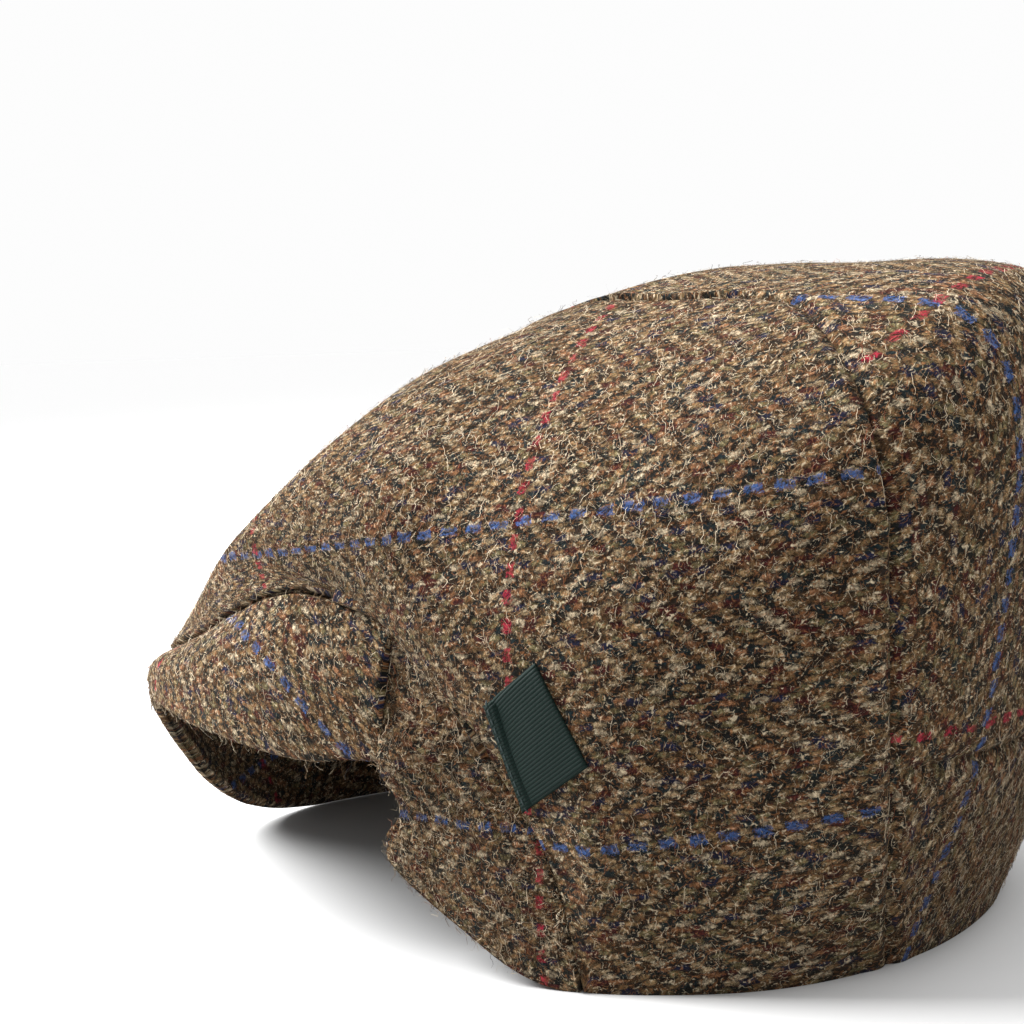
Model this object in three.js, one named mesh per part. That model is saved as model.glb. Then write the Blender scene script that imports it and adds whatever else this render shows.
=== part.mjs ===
import * as THREE from 'three';

// A flat cap of herringbone tweed, filled out to its full form and standing by itself.
// Millimetres and degrees. The peak points to -Y, the wearer's left is +X and the floor is z = 0.
// Angles go round the cap: 0 at the peak, 90 at the wearer's left, 180 at the back, -90 at the right.

const cloth_thickness = 2.4;
const peak_thickness = 5.2;
const label_thickness = 0.9;
const seam_clearance = 0.35;
const peak_root_depth = 13;
const band_height = 50;
const front_seam_end = 101.4;
const peak_end = 72;

// the opening for the head, lifted at the front to clear the forehead
const rim = { half_width: 92, front: 97.5, back: 85, squareness: 2.15, lift: 50, lift_from: 100, lift_to: 44 };

// rings that the crown's surface is drawn over, from the rim up to the top
const crown_rings = [
  { name: 'hem', half_width: 92, front: 140, back: 91, z_front: 58, z_side: 12, z_back: 15, square: 2.3, above_seam: 5 },
  { name: 'bulge', half_width: 99, front: 122, back: 104, z_front: 68, z_side: 53, z_back: 49, square: 2.3, above_seam: 13 },
  { name: 'waist', half_width: 100, front: 95, back: 111, z_front: 81, z_side: 90, z_back: 97, square: 2.4, above_seam: 26 },
  { name: 'shoulder', half_width: 86, front: 80, back: 118, z_front: 102, z_side: 124, z_back: 169, square: 2.5, above_seam: 38 },
  { name: 'top', half_width: 48, front: 40, back: 70, z_front: 133, z_side: 159, z_back: 163, square: 2.2, above_seam: -200 },
];
const crown_top = { y: 22, z: 165 };

// the crown leans a little over the wearer's left of the peak
const lean = { height: 13, middle: 11, width: 33, from_y: 15, to_y: -124 };

// seam between the crown and the front pieces
const front_seam = [
  { deg: -101.4, reach: 93, z: 0 }, { deg: -95, reach: 93, z: 38 }, { deg: -88, reach: 92.5, z: 57 },
  { deg: -80, reach: 93, z: 74 }, { deg: -70, reach: 96.5, z: 80 }, { deg: -60, reach: 103, z: 76 },
  { deg: -48, reach: 112, z: 66 }, { deg: -36, reach: 122, z: 54 }, { deg: -24, reach: 131, z: 45 },
  { deg: -12, reach: 138, z: 42 }, { deg: 0, reach: 142, z: 47 }, { deg: 12, reach: 142.5, z: 58 },
  { deg: 20, reach: 140, z: 65 }, { deg: 28, reach: 133, z: 70.5 }, { deg: 36, reach: 124, z: 76 },
  { deg: 44, reach: 116, z: 83 }, { deg: 51, reach: 109.5, z: 88.5 }, { deg: 57, reach: 104.5, z: 90.5 },
  { deg: 62, reach: 101, z: 89.8 }, { deg: 67, reach: 98, z: 87.8 }, { deg: 72, reach: 95.3, z: 84 },
  { deg: 77, reach: 93.6, z: 79 }, { deg: 80.3, reach: 93, z: 73 }, { deg: 83, reach: 92.8, z: 66 },
  { deg: 86, reach: 92.5, z: 58.5 }, { deg: 90, reach: 92, z: 48.5 }, { deg: 94, reach: 92, z: 39 },
  { deg: 98, reach: 93, z: 26 }, { deg: 101.4, reach: 93, z: 0 },
];

// upper edge of the peak: its far side hangs to the floor, its near side is held up by the crown
const peak_edge = [
  { deg: -75, reach: 98, z: 48 }, { deg: -66, reach: 106, z: 36 }, { deg: -55, reach: 116, z: 22 },
  { deg: -42, reach: 129, z: 8 }, { deg: -30, reach: 139, z: 1.2 }, { deg: -22, reach: 144, z: 0.1 },
  { deg: -14, reach: 147, z: 0.1 }, { deg: -8, reach: 148, z: 1.6 }, { deg: 0, reach: 148.5, z: 7.5 },
  { deg: 6, reach: 148.5, z: 17 }, { deg: 13, reach: 147.5, z: 32 }, { deg: 19, reach: 145.5, z: 43 },
  { deg: 24, reach: 143, z: 49.5 }, { deg: 28, reach: 140, z: 52.5 }, { deg: 33, reach: 136, z: 53.5 },
  { deg: 40, reach: 129, z: 52 }, { deg: 46, reach: 123.5, z: 51.2 }, { deg: 53, reach: 117, z: 49.6 },
  { deg: 61, reach: 109, z: 48.3 }, { deg: 67, reach: 104, z: 49.8 }, { deg: 75, reach: 98, z: 50 },
];

// seam between a side panel and the top panel, from the front seam over the crown to the rim:
// angle round the cap and share of the way up from the rim to the top point
const side_seam = [
  { at: 0, deg: 8, up: 0 }, { at: 0.1, deg: 9, up: 0.2 }, { at: 0.2, deg: 11, up: 0.42 },
  { at: 0.3, deg: 15, up: 0.64 }, { at: 0.38, deg: 24, up: 0.8 }, { at: 0.45, deg: 48, up: 0.9 },
  { at: 0.5, deg: 85, up: 0.93 }, { at: 0.55, deg: 117, up: 0.915 }, { at: 0.6, deg: 130.5, up: 0.865 },
  { at: 0.66, deg: 131, up: 0.77 }, { at: 0.72, deg: 133.5, up: 0.65 }, { at: 0.79, deg: 137, up: 0.52 },
  { at: 0.85, deg: 139.2, up: 0.4 }, { at: 0.9, deg: 141.7, up: 0.27 }, { at: 0.95, deg: 144.8, up: 0.15 },
  { at: 1, deg: 148.5, up: 0 },
];

// label corners on the left side panel, as angle and share of the way up
const label_corners = {
  low_front: { deg: 93.4, up: 0.012 }, low_back: { deg: 101, up: 0.276 },
  high_back: { deg: 95, up: 0.408 }, high_front: { deg: 90, up: 0.27 },
};

const rad = (deg) => deg * Math.PI / 180;
const ease = (t) => { const k = Math.min(1, Math.max(0, t)); return k * k * (3 - 2 * k); };
const softMax = (a, b, k = 6) => 0.5 * (a + b + Math.hypot(a - b, k));
const mix = (a, b, t) => a + (b - a) * t;

// smooth value from a table without overshoot between its rows
function fromTable(rows, by, key, at) {
  const n = rows.length;
  const x = rows.map((r) => r[by]), y = rows.map((r) => r[key]);
  const q = Math.min(x[n - 1], Math.max(x[0], at));
  const h = [], s = [];
  for (let i = 0; i < n - 1; i++) { h.push(x[i + 1] - x[i]); s.push((y[i + 1] - y[i]) / h[i]); }
  const slope = (i) => {
    if (i === 0) return s[0];
    if (i === n - 1) return s[n - 2];
    if (s[i - 1] * s[i] <= 0) return 0;
    const a = 2 * h[i] + h[i - 1], b = h[i] + 2 * h[i - 1];
    return (a + b) / (a / s[i - 1] + b / s[i]);
  };
  let i = 0;
  while (i < n - 2 && q > x[i + 1]) i++;
  const t = (q - x[i]) / h[i], u = 1 - t;
  return (1 + 2 * t) * u * u * y[i] + t * u * u * h[i] * slope(i)
    + t * t * (3 - 2 * t) * y[i + 1] + t * t * (t - 1) * h[i] * slope(i + 1);
}

const signedDeg = (deg) => ((deg + 180) % 360 + 360) % 360 - 180;
const polar = (deg, reach, z) => new THREE.Vector3(Math.sin(rad(deg)) * reach, -Math.cos(rad(deg)) * reach, z);

function oval(deg, r) {
  const s = Math.sin(rad(deg)), c = -Math.cos(rad(deg)), n = 2 / r.square;
  const front = c < 0 ? c * c : 0, back = c > 0 ? c * c : 0;
  return new THREE.Vector3(
    r.half_width * Math.sign(s) * Math.abs(s) ** n,
    (c < 0 ? -r.front : r.back) * Math.abs(c) ** n,
    r.z_front * front + r.z_back * back + r.z_side * (1 - front - back));
}

function leaned(p) {
  const amount = ease((p.y - lean.from_y) / (lean.to_y - lean.from_y));
  p.z += lean.height * Math.tanh((p.x - lean.middle) / lean.width) * amount;
  return p;
}

function rimPoint(deg) {
  const sn = Math.abs(Math.sin(rad(deg))), c = -Math.cos(rad(deg)), n = rim.squareness;
  const reach = ((sn / rim.half_width) ** n + (Math.abs(c) / (c < 0 ? rim.front : rim.back)) ** n) ** (-1 / n);
  const lifted = ease((rim.lift_from - Math.abs(signedDeg(deg))) / (rim.lift_from - rim.lift_to));
  return polar(deg, reach, rim.lift * lifted);
}

// lower edge of the crown: the front seam, then the rim behind it
function crownEdge(deg) {
  const d = signedDeg(deg);
  const low = rimPoint(d);
  if (Math.abs(d) >= front_seam_end) return low;
  const blend = ease((Math.abs(d) - 90) / (front_seam_end - 90));
  const reach = mix(fromTable(front_seam, 'deg', 'reach', d), Math.hypot(low.x, low.y), blend);
  return polar(d, reach, fromTable(front_seam, 'deg', 'z', d));
}

// weights of the seven rings at a share of the way up
const knots = [0, 0, 0, 0, 0.25, 0.5, 0.75, 1, 1, 1, 1];
function ringWeights(up) {
  const s = Math.min(1 - 1e-9, Math.max(0, up));
  let b = knots.slice(0, -1).map((k, i) => (s >= k && s < knots[i + 1] ? 1 : 0));
  for (let d = 1; d <= 3; d++) {
    b = b.slice(0, -1).map((v, i) => {
      const l = knots[i + d] - knots[i], r = knots[i + d + 1] - knots[i + 1];
      return (l > 0 ? (s - knots[i]) / l * v : 0) + (r > 0 ? (knots[i + d + 1] - s) / r * b[i + 1] : 0);
    });
  }
  return b;
}

function crownPoint(deg, up) {
  const edge = crownEdge(deg);
  const points = [edge];
  for (const r of crown_rings) {
    const p = leaned(oval(deg, r));
    p.z = softMax(p.z, edge.z + r.above_seam);
    points.push(p);
  }
  points.push(new THREE.Vector3(0, crown_top.y, crown_top.z));
  const w = ringWeights(up);
  const out = new THREE.Vector3();
  points.forEach((p, i) => out.addScaledVector(p, w[i]));
  return out;
}

// outward direction of the crown
function crownNormal(deg, up) {
  const u = Math.min(0.97, up);
  const across = crownPoint(deg + 1.5, u).sub(crownPoint(deg - 1.5, u));
  const climb = crownPoint(deg, u + 0.015).sub(crownPoint(deg, Math.max(0, u - 0.015)));
  return across.cross(climb).normalize();
}

// a chart of the crown, flat like a map seen from above: the top point is in its middle
const chart = (deg, up) => [(1 - up) * Math.sin(rad(deg)), -(1 - up) * Math.cos(rad(deg))];
const unchart = ([x, y]) => ({ deg: Math.atan2(x, -y) * 180 / Math.PI, up: 1 - Math.hypot(x, y) });
const seamChart = (at) => chart(fromTable(side_seam, 'at', 'deg', at), fromTable(side_seam, 'at', 'up', at));

// patch of the chart between four border lines, low and high along s, left and right along t
function patch(low, high, left, right, s, t) {
  const out = [0, 0];
  for (let k = 0; k < 2; k++) {
    const along = mix(low(s)[k], high(s)[k], t) + mix(left(t)[k], right(t)[k], s);
    const corners = (1 - t) * mix(low(0)[k], low(1)[k], s) + t * mix(high(0)[k], high(1)[k], s);
    out[k] = along - corners;
  }
  return out;
}

// closed wall between two grids of points, rows upwards and columns round the cap
function wall(name, colour, outer, inner) {
  const rows = outer.length, cols = outer[0].length;
  const points = [];
  const at = (side, i, j) => side * rows * cols + i * cols + j;
  for (const grid of [outer, inner]) for (const row of grid) for (const p of row) points.push(p.x, p.y, p.z);
  const faces = [];
  const quad = (a, b, c, d) => faces.push(a, b, c, a, c, d);
  for (let i = 0; i < rows - 1; i++) {
    for (let j = 0; j < cols - 1; j++) {
      quad(at(0, i, j), at(0, i, j + 1), at(0, i + 1, j + 1), at(0, i + 1, j));
      quad(at(1, i, j), at(1, i + 1, j), at(1, i + 1, j + 1), at(1, i, j + 1));
    }
  }
  for (let j = 0; j < cols - 1; j++) {
    quad(at(0, 0, j), at(1, 0, j), at(1, 0, j + 1), at(0, 0, j + 1));
    quad(at(0, rows - 1, j), at(0, rows - 1, j + 1), at(1, rows - 1, j + 1), at(1, rows - 1, j));
  }
  for (let i = 0; i < rows - 1; i++) {
    quad(at(0, i, 0), at(0, i + 1, 0), at(1, i + 1, 0), at(1, i, 0));
    quad(at(0, i, cols - 1), at(1, i, cols - 1), at(1, i + 1, cols - 1), at(0, i + 1, cols - 1));
  }
  const geometry = new THREE.BufferGeometry();
  geometry.setAttribute('position', new THREE.Float32BufferAttribute(points, 3));
  geometry.setIndex(faces);
  const mesh = new THREE.Mesh(geometry, new THREE.MeshStandardMaterial({ color: colour, roughness: 0.95 }));
  mesh.name = name;
  return mesh;
}

// pulls the border of a grid in by half the clearance, so that neighbours don't touch
function drawIn(grid, sides = { low: true, high: true, left: true, right: true }) {
  const move = (p, q) => p.addScaledVector(q.clone().sub(p).normalize(), seam_clearance / 2);
  const rows = grid.length, cols = grid[0].length;
  for (let i = 0; i < rows; i++) {
    if (sides.left) move(grid[i][0], grid[i][1]);
    if (sides.right) move(grid[i][cols - 1], grid[i][cols - 2]);
  }
  for (let j = 0; j < cols; j++) {
    if (sides.low) move(grid[0][j], grid[1][j]);
    if (sides.high) move(grid[rows - 1][j], grid[rows - 2][j]);
  }
  return grid;
}

const steps = (n) => Array.from({ length: n + 1 }, (_, i) => i / n);

// crown panel from a patch of the chart; mirrored puts it on the wearer's right
function crownPanel(name, colour, rows, cols, border, { mirrored = false, on_floor = false } = {}) {
  const outer = [], inward = [];
  for (const t of steps(rows)) {
    const line = [], dirs = [];
    for (const s of steps(cols)) {
      const [x, y] = border(mirrored ? 1 - s : s, t);
      const { deg, up } = unchart([mirrored ? -x : x, y]);
      line.push(crownPoint(deg, up));
      dirs.push(crownNormal(deg, up));
    }
    outer.push(line);
    inward.push(dirs);
  }
  drawIn(outer, { low: !on_floor, high: true, left: true, right: true });
  const inner = outer.map((line, i) => line.map((p, j) => {
    const q = p.clone().addScaledVector(inward[i][j], -cloth_thickness);
    if (on_floor && i === 0 && p.z < 0.5) q.z = p.z;
    return q;
  }));
  return wall(name, colour, outer, inner);
}

const tweed = 0x5b4a38;
const cap = new THREE.Group();
cap.name = 'flat_cap';

// marks along the side seam, evenly spaced on the cloth; the back band starts at a mark of its own
const side_rows = 14, side_columns = 34, band_rows = 5;
const seam_marks = 2 * side_rows + side_columns;
const seamCrown = (at) => crownPoint(fromTable(side_seam, 'at', 'deg', at), fromTable(side_seam, 'at', 'up', at));
const marks = (() => {
  const fine = steps(600), length = [0];
  let last = seamCrown(0), band_at = 1;
  fine.slice(1).forEach((at) => {
    const p = seamCrown(at);
    length.push(length[length.length - 1] + p.distanceTo(last));
    if (at > 0.8 && p.z >= band_height) band_at = length[length.length - 1];
    last = p;
  });
  const total = length[length.length - 1], top_marks = seam_marks - band_rows;
  return Array.from({ length: seam_marks + 1 }, (_, k) => {
    const goal = k <= top_marks ? band_at * k / top_marks
      : mix(band_at, total, (k - top_marks) / band_rows);
    const i = Math.max(1, length.findIndex((l) => l >= goal - 1e-9));
    return mix(fine[i - 1], fine[i], (goal - length[i - 1]) / (length[i] - length[i - 1]));
  });
})();
const markChart = (k) => {
  const i = Math.min(seam_marks - 1, Math.floor(k + 1e-9));
  return seamChart(mix(marks[i], marks[i + 1], Math.max(0, k - i)));
};
const seam_foot = side_seam[0].deg, seam_heel = side_seam[side_seam.length - 1].deg;

// marks along the crown's lower edge, with one at each end of the wing
const wing_last = front_seam_end - 0.5;
const edge_marks = [[seam_foot, peak_end, 13], [peak_end, wing_last, 11], [wing_last, front_seam_end, 1],
  [front_seam_end, seam_heel, 9]].flatMap(([from, to, count], part) => {
  const fine = steps(200), length = [0];
  let last = crownEdge(from);
  fine.slice(1).forEach((k) => {
    const p = crownEdge(mix(from, to, k));
    length.push(length[length.length - 1] + p.distanceTo(last));
    last = p;
  });
  const list = Array.from({ length: count + 1 }, (_, k) => {
    const goal = length[200] * k / count;
    const i = Math.max(1, length.findIndex((l) => l >= goal - 1e-9));
    return mix(from, to, mix(fine[i - 1], fine[i], (goal - length[i - 1]) / (length[i] - length[i - 1])));
  });
  return part === 0 ? list : list.slice(1);
});
const wing_marks = edge_marks.filter((deg) => deg > peak_end - 0.01 && deg < wing_last + 0.01);
const edgeChart = (k) => {
  const q = k * side_columns, i = Math.min(side_columns - 1, Math.floor(q + 1e-9));
  return chart(mix(edge_marks[i], edge_marks[i + 1], Math.max(0, q - i)), 0);
};

// side panels, each in one piece from the top seam down to the rim
const side_border = (s, t) => patch(
  edgeChart,
  (k) => markChart(side_rows + side_columns * k),
  (k) => markChart(side_rows * k),
  (k) => markChart(seam_marks - side_rows * k), s, t);
cap.add(crownPanel('side_panel_left', tweed, side_rows, side_columns, side_border, { on_floor: true }));
cap.add(crownPanel('side_panel_right', tweed, side_rows, side_columns, side_border, { on_floor: true, mirrored: true }));

// back band under the top panel
const mirror = ([x, y]) => [-x, y];
const band_mark = seam_marks - band_rows;
const band_from = unchart(markChart(band_mark));
const bandTop = (k) => {
  const deg = mix(band_from.deg, 360 - band_from.deg, k);
  const height = mix(crownPoint(band_from.deg, band_from.up).z, band_height, 1 - (2 * k - 1) ** 2);
  let low = 0, high = 0.5;
  for (let i = 0; i < 30; i++) {
    const mid = (low + high) / 2;
    if (crownPoint(deg, mid).z < height) low = mid; else high = mid;
  }
  return chart(deg, k === 0 || k === 1 ? band_from.up : low);
};
const band_border = (s, t) => patch(
  (k) => chart(mix(seam_heel, 360 - seam_heel, k), 0),
  bandTop,
  (k) => markChart(mix(seam_marks, band_mark, k)),
  (k) => mirror(markChart(mix(seam_marks, band_mark, k))), s, t);
cap.add(crownPanel('back_band', tweed, band_rows, 14, band_border, { on_floor: true }));

// top panel, from the back band up over the crown and down to the front seam
const top_border = (s, t) => patch(
  bandTop,
  (k) => chart(mix(seam_foot, -seam_foot, k), 0),
  (k) => markChart(mix(band_mark, 0, k)),
  (k) => mirror(markChart(mix(band_mark, 0, k))), s, t);
cap.add(crownPanel('top_panel', tweed, band_mark, 14, top_border));

// turns a direction into the upright plane at an angle, so that two pieces meet there face to face
function facing(n, deg) {
  const across = new THREE.Vector3(Math.cos(rad(deg)), Math.sin(rad(deg)), 0);
  return n.addScaledVector(across, -n.dot(across)).normalize();
}

// wings in front of the ears, between the front seam and the rim, with the fold that runs on from the peak
const wing_fold = { height: 50, rise: 9, depth: 5.5, from: 72, to: 90, above: 20, below: 7, forward: 5.5 };
function wingPoint(deg, t, side) {
  const low = rimPoint(side * deg), high = crownEdge(side * deg);
  const p = low.clone().lerp(high, t);
  const along = (deg - wing_fold.from) / (wing_fold.to - wing_fold.from);
  const dz = p.z - (wing_fold.height + wing_fold.rise * along);
  const spread = dz > 0 ? wing_fold.above : wing_fold.below;
  const bump = wing_fold.depth * (1 - ease(along)) * Math.exp(-((dz / spread) ** 2)) * Math.sin(Math.PI * Math.min(1, 0.25 + t * 0.75));
  const out = polar(side * deg, 1, 0);
  p.y -= wing_fold.forward * (1 - ease(along * 1.3)) * (1 - ease((p.z - 30) / 8));
  return p.addScaledVector(out, bump + 1.2 * Math.sin(Math.PI * t));
}
function wing(name, side) {
  const rows = 8, cols = wing_marks.length - 1, outer = [], inner = [];
  const marks_here = side > 0 ? wing_marks : [...wing_marks].reverse();
  for (const t of steps(rows)) outer.push(marks_here.map((deg) => wingPoint(deg, t, side)));
  drawIn(outer, { low: false, high: true, left: true, right: true });
  for (const [i, line] of outer.entries()) {
    inner.push(line.map((p, j) => {
      const deg = marks_here[j];
      const n = i === rows ? crownNormal(side * deg, 0) : polar(side * deg, 1, 0);
      if (deg < peak_end + 0.1) facing(n, side * deg);
      return p.clone().addScaledVector(n, -cloth_thickness);
    }));
  }
  return wall(name, tweed, outer, inner);
}
cap.add(wing('front_wing_left', 1));
cap.add(wing('front_wing_right', -1));

// peak, with its root under the crown's front edge
function peakTop(deg, t) {
  const edge = polar(deg, fromTable(peak_edge, 'deg', 'reach', deg), fromTable(peak_edge, 'deg', 'z', deg));
  const seam = crownEdge(deg);
  const under = seam.clone().addScaledVector(crownNormal(deg, 0), -cloth_thickness);
  seam.z = Math.min(seam.z, under.z) - 2 * seam_clearance;
  const root_depth = mix(peak_root_depth, 2.5, ease((Math.abs(deg) - 40) / (peak_end - 40)));
  const root = seam.clone().addScaledVector(polar(deg, 1, 0), -root_depth);
  root.z -= 0.5;
  if (t < 0) return seam.lerp(root, -t);
  const p = seam.lerp(edge, t);
  return p.addScaledVector(polar(deg, 1, 0.8), 4 * Math.sin(Math.PI * t) * (1 - 0.5 * ease((Math.abs(deg) - 50) / 22)));
}
function peak() {
  const across = 44, share = [1, 0.97, 0.85, 0.68, 0.5, 0.32, 0.15, 0, -0.5, -1];
  const top = share.map((t) => steps(across).map((s) => peakTop(mix(-peak_end, peak_end, s), t)));
  drawIn(top, { low: false, high: false, left: true, right: true });
  const outer = [], inner = [];
  top.forEach((line, i) => {
    const upper = [], lower = [];
    line.forEach((p, j) => {
      const l = line[Math.max(0, j - 1)], r = line[Math.min(across, j + 1)];
      const d = top[Math.max(0, i - 1)][j], u = top[Math.min(top.length - 1, i + 1)][j];
      const n = r.clone().sub(l).cross(u.clone().sub(d)).normalize();
      if (j === 0 || j === across) facing(n, mix(-peak_end, peak_end, j / across));
      const cut = i === 0 ? 1.3 : 0;
      upper.push(p.clone().addScaledVector(n, -cut));
      lower.push(p.clone().addScaledVector(n, cut - peak_thickness));
    });
    outer.push(upper);
    inner.push(lower);
  });
  return wall('peak', tweed, outer, inner);
}
cap.add(peak());

// place on the crown with the same height and direction as a point near it
function onCrown(p) {
  const aim = Math.atan2(p.x, -p.y) * 180 / Math.PI;
  let deg = aim, up = 0;
  for (let k = 0; k < 12; k++) {
    let low = 0, high = 0.8;
    for (let i = 0; i < 24; i++) {
      up = (low + high) / 2;
      if (crownPoint(deg, up).z < p.z) low = up; else high = up;
    }
    const q = crownPoint(deg, up);
    deg += 0.8 * (aim - Math.atan2(q.x, -q.y) * 180 / Math.PI);
  }
  return { deg, up };
}

// ribbon label sewn into the front seam
function label() {
  const rows = 6, cols = 6, outer = [], inner = [];
  const corner = ({ deg, up }) => crownPoint(deg, up);
  const c = label_corners;
  for (const t of steps(rows)) {
    const up_line = [], down_line = [];
    for (const s of steps(cols)) {
      const low = corner(c.low_front).lerp(corner(c.low_back), s);
      const { deg, up } = onCrown(low.lerp(corner(c.high_front).lerp(corner(c.high_back), s), t));
      const base = crownPoint(deg, up), n = crownNormal(deg, up);
      up_line.push(base.clone().addScaledVector(n, seam_clearance + label_thickness));
      down_line.push(base.clone().addScaledVector(n, seam_clearance));
    }
    outer.push(up_line);
    inner.push(down_line);
  }
  return wall('label', 0x0f2f2a, outer, inner);
}
cap.add(label());

// the middle of the cap's outline goes over the origin
const outline = new THREE.Box3().setFromObject(cap);
const middle = outline.getCenter(new THREE.Vector3());
for (const piece of cap.children) piece.geometry.translate(-middle.x, -middle.y, -outline.min.z);

export default cap;
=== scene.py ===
import math

import bpy
import numpy as np
from mathutils import Matrix, kdtree


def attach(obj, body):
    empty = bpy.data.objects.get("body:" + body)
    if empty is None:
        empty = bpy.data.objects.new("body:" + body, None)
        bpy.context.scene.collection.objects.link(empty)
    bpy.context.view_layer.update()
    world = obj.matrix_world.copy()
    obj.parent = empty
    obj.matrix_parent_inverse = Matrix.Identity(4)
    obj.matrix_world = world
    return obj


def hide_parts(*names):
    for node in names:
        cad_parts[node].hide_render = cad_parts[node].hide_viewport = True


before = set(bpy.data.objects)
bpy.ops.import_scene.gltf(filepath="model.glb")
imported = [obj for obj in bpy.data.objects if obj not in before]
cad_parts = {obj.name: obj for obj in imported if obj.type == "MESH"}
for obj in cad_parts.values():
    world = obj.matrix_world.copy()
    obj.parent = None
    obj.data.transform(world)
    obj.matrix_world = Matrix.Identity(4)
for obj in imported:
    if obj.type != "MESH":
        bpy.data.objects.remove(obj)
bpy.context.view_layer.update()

# The crown. The cap is filled out to its full form: a soft crown over an oval rim that is
# lifted above the forehead. Millimetres; angles go round the cap, 0 at the peak, 90 at the
# wearer's left. These are the measures of the cut pieces, with the peak to -Y.
CLOTH = 2.4
SHIFT = np.array([-0.559, 18.423, 0.0])
RIM = {"half_width": 92, "front": 97.5, "back": 85, "square": 2.15, "lift": 50, "from": 100, "to": 44}
RING_COLUMNS = ("half_width", "front", "back", "z_front", "z_side", "z_back", "square", "above_seam")
RINGS = (
    (92, 140, 91, 58, 12, 15, 2.3, 5),
    (99, 122, 104, 68, 53, 49, 2.3, 13),
    (100, 95, 111, 81, 90, 97, 2.4, 26),
    (86, 80, 118, 102, 124, 169, 2.5, 38),
    (48, 40, 70, 133, 159, 163, 2.2, -200),
)
TOP = {"y": 22, "z": 165}
LEAN = {"height": 13, "middle": 11, "width": 33, "from_y": 15, "to_y": -124}
FRONT_SEAM = (  # deg, reach, z
    (-101.4, 93, 0), (-95, 93, 38), (-88, 92.5, 57), (-80, 93, 74), (-70, 96.5, 80), (-60, 103, 76),
    (-48, 112, 66), (-36, 122, 54), (-24, 131, 45), (-12, 138, 42), (0, 142, 47), (12, 142.5, 58),
    (20, 140, 65), (28, 133, 70.5), (36, 124, 76), (44, 116, 83), (51, 109.5, 88.5), (57, 104.5, 90.5),
    (62, 101, 89.8), (67, 98, 87.8), (72, 95.3, 84), (77, 93.6, 79), (80.3, 93, 73), (83, 92.8, 66),
    (86, 92.5, 58.5), (90, 92, 48.5), (94, 92, 39), (98, 93, 26), (101.4, 93, 0),
)
SIDE_SEAM = (  # share of the way, deg, up
    (0, 8, 0), (0.1, 9, 0.2), (0.2, 11, 0.42), (0.3, 15, 0.64), (0.38, 24, 0.8), (0.45, 48, 0.9),
    (0.5, 85, 0.93), (0.55, 117, 0.915), (0.6, 130.5, 0.865), (0.66, 131, 0.77), (0.72, 133.5, 0.65),
    (0.79, 137, 0.52), (0.85, 139.2, 0.4), (0.9, 141.7, 0.27), (0.95, 144.8, 0.15), (1, 148.5, 0),
)
FRONT_SEAM_END, PEAK_END, BAND_HEIGHT = 101.4, 72.0, 50.0


def ease(t):
    """0 to 1 with a soft start and end."""
    k = np.clip(t, 0, 1)
    return k * k * (3 - 2 * k)


def curve(rows, column):
    """A smooth curve through a table's column, with no overshoot between its rows."""
    x, y = np.array([r[0] for r in rows], float), np.array([r[column] for r in rows], float)
    h = np.diff(x)
    s = np.diff(y) / h
    m = np.empty(len(x))
    m[0], m[-1] = s[0], s[-1]
    a, b = 2 * h[1:] + h[:-1], h[1:] + 2 * h[:-1]
    turn = s[:-1] * s[1:] <= 0
    safe0, safe1 = np.where(turn, 1, s[:-1]), np.where(turn, 1, s[1:])
    m[1:-1] = np.where(turn, 0, (a + b) / (a / safe0 + b / safe1))

    def at(q):
        q = np.clip(q, x[0], x[-1])
        i = np.clip(np.searchsorted(x, q, side="left") - 1, 0, len(x) - 2)
        t = (q - x[i]) / h[i]
        u = 1 - t
        return ((1 + 2 * t) * u * u * y[i] + t * u * u * h[i] * m[i]
                + t * t * (3 - 2 * t) * y[i + 1] + t * t * (t - 1) * h[i] * m[i + 1])

    return at


seam_reach, seam_z = curve(FRONT_SEAM, 1), curve(FRONT_SEAM, 2)
side_deg, side_up = curve(SIDE_SEAM, 1), curve(SIDE_SEAM, 2)


def polar(deg, reach, z):
    """The point in direction deg, at a distance from the cap's axis and a height."""
    a = np.radians(deg)
    return np.stack(np.broadcast_arrays(np.sin(a) * reach, -np.cos(a) * reach, z), -1)


def signed(deg):
    return (np.asarray(deg, float) + 180) % 360 - 180


def rim_point(deg):
    """The oval rim, level with the floor at the back and the sides and lifted in front."""
    a = np.radians(deg)
    n, c = RIM["square"], -np.cos(a)
    across = (np.abs(np.sin(a)) / RIM["half_width"]) ** n
    along = (np.abs(c) / np.where(c < 0, RIM["front"], RIM["back"])) ** n
    lifted = ease((RIM["from"] - np.abs(signed(deg))) / (RIM["from"] - RIM["to"]))
    return polar(deg, (across + along) ** (-1 / n), RIM["lift"] * lifted)


def crown_edge(deg):
    """The crown's lower edge: the seam over the peak and the wings, then the rim."""
    d = signed(deg)
    low = rim_point(d)
    blend = ease((np.abs(d) - 90) / (FRONT_SEAM_END - 90))
    reach = seam_reach(d) * (1 - blend) + np.hypot(low[..., 0], low[..., 1]) * blend
    high = polar(d, reach, seam_z(d))
    return np.where((np.abs(d) >= FRONT_SEAM_END)[..., None], low, high)


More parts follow.
